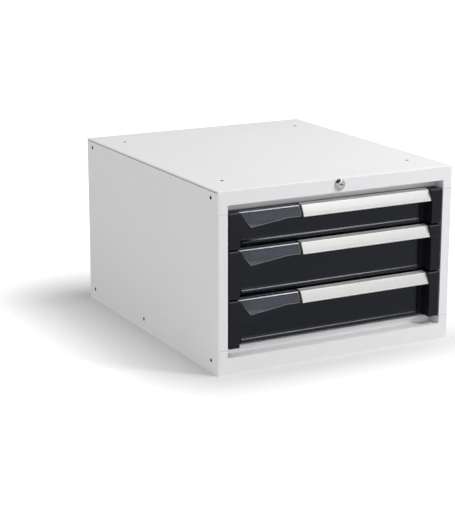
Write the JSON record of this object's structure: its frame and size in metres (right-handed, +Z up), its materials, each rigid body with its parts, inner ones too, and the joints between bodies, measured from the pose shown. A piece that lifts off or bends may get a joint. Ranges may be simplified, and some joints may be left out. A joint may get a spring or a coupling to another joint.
{
  "type": "drawer cabinet",
  "caption": "Lockable steel drawer cabinet for a bench, with recessed dark fronts, sloped aluminium grips, label covers and full-extension ball-bearing slides.",
  "frame": {"origin": "on the floor, in the middle of the bounding box seen from above", "axes": "+Z up, the drawer fronts face -Y, +X to the right seen from the front"},
  "size_m": [0.5, 0.5878, 0.34],
  "materials": {
    "casing": "fine-textured powder coat, light grey-white",
    "front": "dark anthracite satin paint",
    "cap": "anthracite moulded plastic, satin",
    "grip": "satin anodised",
    "smoke": "smoked clear plastic, gloss",
    "card": "plain grey card",
    "slide": "zinc-plated steel",
    "ball": "bright steel",
    "chrome": "polished chrome",
    "screw": "zinc-plated steel"
  },
  "bodies": {
    "cabinet": {"top_panel": "casing", "side_panel_left": "casing", "side_panel_right": "casing", "bottom_panel": "casing", "back_panel": "casing", "inner_top_rail": "casing", "inner_bottom_rail": "casing", "uprights": "slide", "casing_screws": "screw", "slide_screws": "screw", "lock_housing": "chrome", "lock_nut": "slide", "rod_brackets": "slide", "bar_guides": "slide", "cabinet_rails_1": "slide", "cabinet_rails_2": "slide", "cabinet_rails_3": "slide"},
    "lock_rotor": {"lock_plug": "chrome", "lock_rod": "slide", "lock_crank": "slide"},
    "lock_slider": {"lock_bar": "slide"},
    "drawer_1": {"tray_1": "casing", "drawer_rails_1": "slide", "front_panel_1": "front", "end_cap_left_1": "cap", "end_cap_right_1": "cap", "handle_1": "grip", "label_cover_1": "smoke", "label_card_1": "card", "front_screws_1": "screw", "lock_catch_1": "slide"},
    "middle_slide_1": {"middle_rails_1": "slide"},
    "outer_cage_1": {"outer_cages_1": "ball"},
    "inner_cage_1": {"inner_cages_1": "ball"},
    "drawer_2": {"tray_2": "casing", "drawer_rails_2": "slide", "front_panel_2": "front", "end_cap_left_2": "cap", "end_cap_right_2": "cap", "handle_2": "grip", "label_cover_2": "smoke", "label_card_2": "card", "front_screws_2": "screw", "lock_catch_2": "slide"},
    "middle_slide_2": {"middle_rails_2": "slide"},
    "outer_cage_2": {"outer_cages_2": "ball"},
    "inner_cage_2": {"inner_cages_2": "ball"},
    "drawer_3": {"tray_3": "casing", "drawer_rails_3": "slide", "front_panel_3": "front", "end_cap_left_3": "cap", "end_cap_right_3": "cap", "handle_3": "grip", "label_cover_3": "smoke", "label_card_3": "card", "front_screws_3": "screw", "lock_catch_3": "slide"},
    "middle_slide_3": {"middle_rails_3": "slide"},
    "outer_cage_3": {"outer_cages_3": "ball"},
    "inner_cage_3": {"inner_cages_3": "ball"}
  },
  "joints": [
    {"name": "drawer_1_slide", "type": "slide", "parent": "cabinet", "child": "drawer_1", "axis": [0, -1, 0], "range_m": [0, 0.5]},
    {"name": "middle_slide_1_run", "type": "slide", "parent": "cabinet", "child": "middle_slide_1", "axis": [0, -1, 0], "range_m": [0, 0.25]},
    {"name": "outer_cage_1_run", "type": "slide", "parent": "cabinet", "child": "outer_cage_1", "axis": [0, -1, 0], "range_m": [0, 0.125]},
    {"name": "inner_cage_1_run", "type": "slide", "parent": "cabinet", "child": "inner_cage_1", "axis": [0, -1, 0], "range_m": [0, 0.375]},
    {"name": "drawer_2_slide", "type": "slide", "parent": "cabinet", "child": "drawer_2", "axis": [0, -1, 0], "range_m": [0, 0.5]},
    {"name": "middle_slide_2_run", "type": "slide", "parent": "cabinet", "child": "middle_slide_2", "axis": [0, -1, 0], "range_m": [0, 0.25]},
    {"name": "outer_cage_2_run", "type": "slide", "parent": "cabinet", "child": "outer_cage_2", "axis": [0, -1, 0], "range_m": [0, 0.125]},
    {"name": "inner_cage_2_run", "type": "slide", "parent": "cabinet", "child": "inner_cage_2", "axis": [0, -1, 0], "range_m": [0, 0.375]},
    {"name": "drawer_3_slide", "type": "slide", "parent": "cabinet", "child": "drawer_3", "axis": [0, -1, 0], "range_m": [0, 0.5]},
    {"name": "middle_slide_3_run", "type": "slide", "parent": "cabinet", "child": "middle_slide_3", "axis": [0, -1, 0], "range_m": [0, 0.25]},
    {"name": "outer_cage_3_run", "type": "slide", "parent": "cabinet", "child": "outer_cage_3", "axis": [0, -1, 0], "range_m": [0, 0.125]},
    {"name": "inner_cage_3_run", "type": "slide", "parent": "cabinet", "child": "inner_cage_3", "axis": [0, -1, 0], "range_m": [0, 0.375]},
    {"name": "lock_bar_drop", "type": "slide", "parent": "cabinet", "child": "lock_slider", "axis": [0, 0, -1], "range_m": [0, 0.0085]},
    {"name": "lock_turn", "type": "hinge", "parent": "cabinet", "child": "lock_rotor", "pos_m": [0, -0.2879, 0.3275], "axis": [0, 1, 0], "range_deg": [0, 90]}
  ],
  "couplings": [
    {"joint": "middle_slide_1_run", "follows": "drawer_1_slide", "ratio": 0.5},
    {"joint": "outer_cage_1_run", "follows": "drawer_1_slide", "ratio": 0.25},
    {"joint": "inner_cage_1_run", "follows": "drawer_1_slide", "ratio": 0.75},
    {"joint": "middle_slide_2_run", "follows": "drawer_2_slide", "ratio": 0.5},
    {"joint": "outer_cage_2_run", "follows": "drawer_2_slide", "ratio": 0.25},
    {"joint": "inner_cage_2_run", "follows": "drawer_2_slide", "ratio": 0.75},
    {"joint": "middle_slide_3_run", "follows": "drawer_3_slide", "ratio": 0.5},
    {"joint": "outer_cage_3_run", "follows": "drawer_3_slide", "ratio": 0.25},
    {"joint": "inner_cage_3_run", "follows": "drawer_3_slide", "ratio": 0.75},
    {"joint": "lock_turn", "follows": "lock_bar_drop", "rad_per_m": 184.79}
  ]
}
